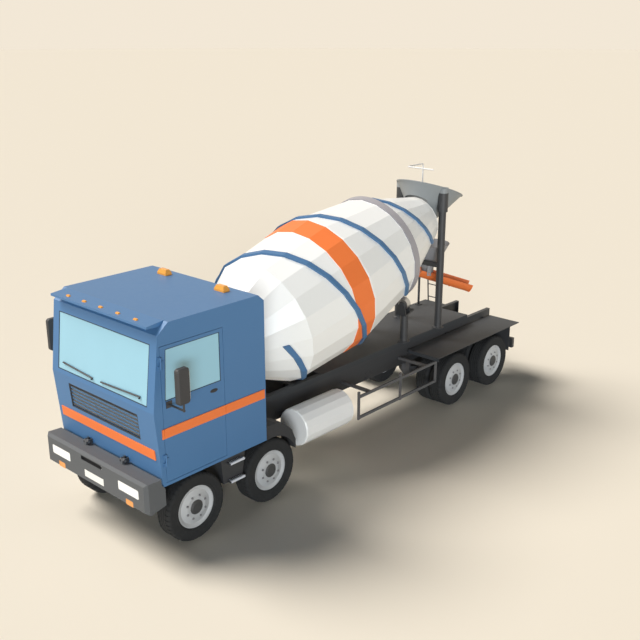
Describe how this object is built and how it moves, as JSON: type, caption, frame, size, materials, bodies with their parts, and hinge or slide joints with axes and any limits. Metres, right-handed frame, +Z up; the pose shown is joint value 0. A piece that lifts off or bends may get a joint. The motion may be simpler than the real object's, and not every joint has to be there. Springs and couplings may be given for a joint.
{
  "type": "concrete mixer truck",
  "caption": "Cab-over concrete mixer truck with a tilted faceted drum on rollers, filling hopper, swinging discharge chute, opening doors and steered front axles.",
  "frame": {"origin": "on the ground under the middle of the overall length and width, where the tyres stand", "axes": "+X forward along the truck, +Y to its left, +Z up"},
  "size_m": [9.852, 3.18, 4.544],
  "materials": {
    "cab_blue": "gloss",
    "stripe_orange": "gloss",
    "frame_dark": "satin",
    "drum_white": "satin",
    "rib_blue": "satin",
    "steel_grey": "satin",
    "steel_dark": "satin",
    "machine_steel": "satin",
    "cast_dark": "rough",
    "tank_alloy": "satin",
    "bumper_grey": "satin",
    "trim_dark": "matte",
    "seat_dark": "woven",
    "glass": "clear",
    "lamp": "clear",
    "amber": "clear",
    "rim_grey": "satin",
    "tyre": "matte"
  },
  "bodies": {
    "chassis": {"chassis_frame": "frame_dark", "fuel_tanks": "tank_alloy", "subframe": "frame_dark", "drum_pedestal": "steel_dark", "deck_columns": "frame_dark", "hopper": "steel_grey", "rear_posts": "frame_dark", "collector": "steel_dark", "water_pipe": "steel_grey", "bumper": "bumper_grey", "front_lamps": "lamp", "rear_fenders": "frame_dark", "mudguards": "trim_dark", "rear_bar": "frame_dark", "side_guards": "frame_dark", "steps": "steel_dark", "rear_ladder": "frame_dark", "engine": "cast_dark", "front_axles": "cast_dark", "rear_axles": "cast_dark"},
    "cab": {"cab_shell": "cab_blue", "windscreen": "glass", "grille": "trim_dark", "cab_stripes": "stripe_orange", "roof_lamps": "amber", "cab_interior": "seat_dark"},
    "left_door": {"door_left": "cab_blue", "door_glass_left": "glass", "mirror_left": "trim_dark"},
    "right_door": {"door_right": "cab_blue", "door_glass_right": "glass", "mirror_right": "trim_dark"},
    "drum": {"drum_shell": "drum_white", "drum_band": "stripe_orange", "drum_track": "machine_steel", "drum_ribs": "rib_blue"},
    "left_roller": {"roller_left": "machine_steel"},
    "right_roller": {"roller_right": "machine_steel"},
    "chute_swivel": {"chute_yoke": "steel_dark"},
    "discharge_chute": {"chute": "stripe_orange"},
    "steering_1_left": {"knuckle_1_left": "cast_dark"},
    "wheel_1_left": {"tyre_1_left": "tyre", "rim_1_left": "rim_grey"},
    "steering_1_right": {"knuckle_1_right": "cast_dark"},
    "wheel_1_right": {"tyre_1_right": "tyre", "rim_1_right": "rim_grey"},
    "steering_2_left": {"knuckle_2_left": "cast_dark"},
    "wheel_2_left": {"tyre_2_left": "tyre", "rim_2_left": "rim_grey"},
    "steering_2_right": {"knuckle_2_right": "cast_dark"},
    "wheel_2_right": {"tyre_2_right": "tyre", "rim_2_right": "rim_grey"},
    "wheel_3_left": {"tyre_3_left": "tyre", "rim_3_left": "rim_grey"},
    "wheel_3_right": {"tyre_3_right": "tyre", "rim_3_right": "rim_grey"},
    "wheel_4_left": {"tyre_4_left": "tyre", "rim_4_left": "rim_grey"},
    "wheel_4_right": {"tyre_4_right": "tyre", "rim_4_right": "rim_grey"}
  },
  "joints": [
    {"name": "cab_tilt", "type": "hinge", "parent": "chassis", "child": "cab", "pos_m": [4.709, 0, 1.3], "axis": [0, 1, 0], "range_deg": [0, 50]},
    {"name": "door_left_swing", "type": "hinge", "parent": "cab", "child": "left_door", "pos_m": [4.5505, 1.245, 2.2], "axis": [0, 0, -1], "range_deg": [0, 70]},
    {"name": "door_right_swing", "type": "hinge", "parent": "cab", "child": "right_door", "pos_m": [4.5505, -1.245, 2.2], "axis": [0, 0, 1], "range_deg": [0, 70]},
    {"name": "drum_spin", "type": "hinge", "parent": "chassis", "child": "drum", "pos_m": [0.004, 0, 2.825], "axis": [-0.9696, 0, 0.2448], "continuous": true},
    {"name": "roller_left_spin", "type": "hinge", "parent": "chassis", "child": "left_roller", "pos_m": [-1.60538, 0.60176, 2.21056], "axis": [-0.9696, 0, 0.2448], "continuous": true},
    {"name": "roller_right_spin", "type": "hinge", "parent": "chassis", "child": "right_roller", "pos_m": [-1.60538, -0.60176, 2.21056], "axis": [-0.9696, 0, 0.2448], "continuous": true},
    {"name": "steer_1_left", "type": "hinge", "parent": "chassis", "child": "steering_1_left", "pos_m": [4.004, 0.985, 0.525], "axis": [0, 0, 1], "range_deg": [-32, 32]},
    {"name": "wheel_1_left_spin", "type": "hinge", "parent": "steering_1_left", "child": "wheel_1_left", "pos_m": [4.004, 1.035, 0.525], "axis": [0, 1, 0], "continuous": true},
    {"name": "steer_1_right", "type": "hinge", "parent": "chassis", "child": "steering_1_right", "pos_m": [4.004, -0.985, 0.525], "axis": [0, 0, 1], "range_deg": [-32, 32]},
    {"name": "wheel_1_right_spin", "type": "hinge", "parent": "steering_1_right", "child": "wheel_1_right", "pos_m": [4.004, -1.035, 0.525], "axis": [0, 1, 0], "continuous": true},
    {"name": "steer_2_left", "type": "hinge", "parent": "chassis", "child": "steering_2_left", "pos_m": [2.5, 0.985, 0.525], "axis": [0, 0, 1], "range_deg": [-25.6, 25.6]},
    {"name": "wheel_2_left_spin", "type": "hinge", "parent": "steering_2_left", "child": "wheel_2_left", "pos_m": [2.5, 1.035, 0.525], "axis": [0, 1, 0], "continuous": true},
    {"name": "steer_2_right", "type": "hinge", "parent": "chassis", "child": "steering_2_right", "pos_m": [2.5, -0.985, 0.525], "axis": [0, 0, 1], "range_deg": [-25.6, 25.6]},
    {"name": "wheel_2_right_spin", "type": "hinge", "parent": "steering_2_right", "child": "wheel_2_right", "pos_m": [2.5, -1.035, 0.525], "axis": [0, 1, 0], "continuous": true},
    {"name": "wheel_3_left_spin", "type": "hinge", "parent": "chassis", "child": "wheel_3_left", "pos_m": [-2.596, 1.035, 0.525], "axis": [0, 1, 0], "continuous": true},
    {"name": "wheel_3_right_spin", "type": "hinge", "parent": "chassis", "child": "wheel_3_right", "pos_m": [-2.596, -1.035, 0.525], "axis": [0, 1, 0], "continuous": true},
    {"name": "wheel_4_left_spin", "type": "hinge", "parent": "chassis", "child": "wheel_4_left", "pos_m": [-3.971, 1.035, 0.525], "axis": [0, 1, 0], "continuous": true},
    {"name": "wheel_4_right_spin", "type": "hinge", "parent": "chassis", "child": "wheel_4_right", "pos_m": [-3.971, -1.035, 0.525], "axis": [0, 1, 0], "continuous": true},
    {"name": "chute_swing", "type": "hinge", "parent": "chassis", "child": "chute_swivel", "pos_m": [-3.161, 0, 2.546], "axis": [0, 0, 1], "range_deg": [-45, 135]},
    {"name": "chute_tilt", "type": "hinge", "parent": "chute_swivel", "child": "discharge_chute", "pos_m": [-3.161, 0, 2.4], "axis": [0.7071, 0.7071, 0], "range_deg": [-10, 12]}
  ],
  "couplings": [
    {"joint": "steer_1_right", "follows": "steer_1_left", "ratio": 1},
    {"joint": "steer_2_left", "follows": "steer_1_left", "ratio": 0.8},
    {"joint": "steer_2_right", "follows": "steer_1_left", "ratio": 0.8},
    {"joint": "roller_left_spin", "follows": "drum_spin", "ratio": -9.5273},
    {"joint": "roller_right_spin", "follows": "drum_spin", "ratio": -9.5273}
  ]
}
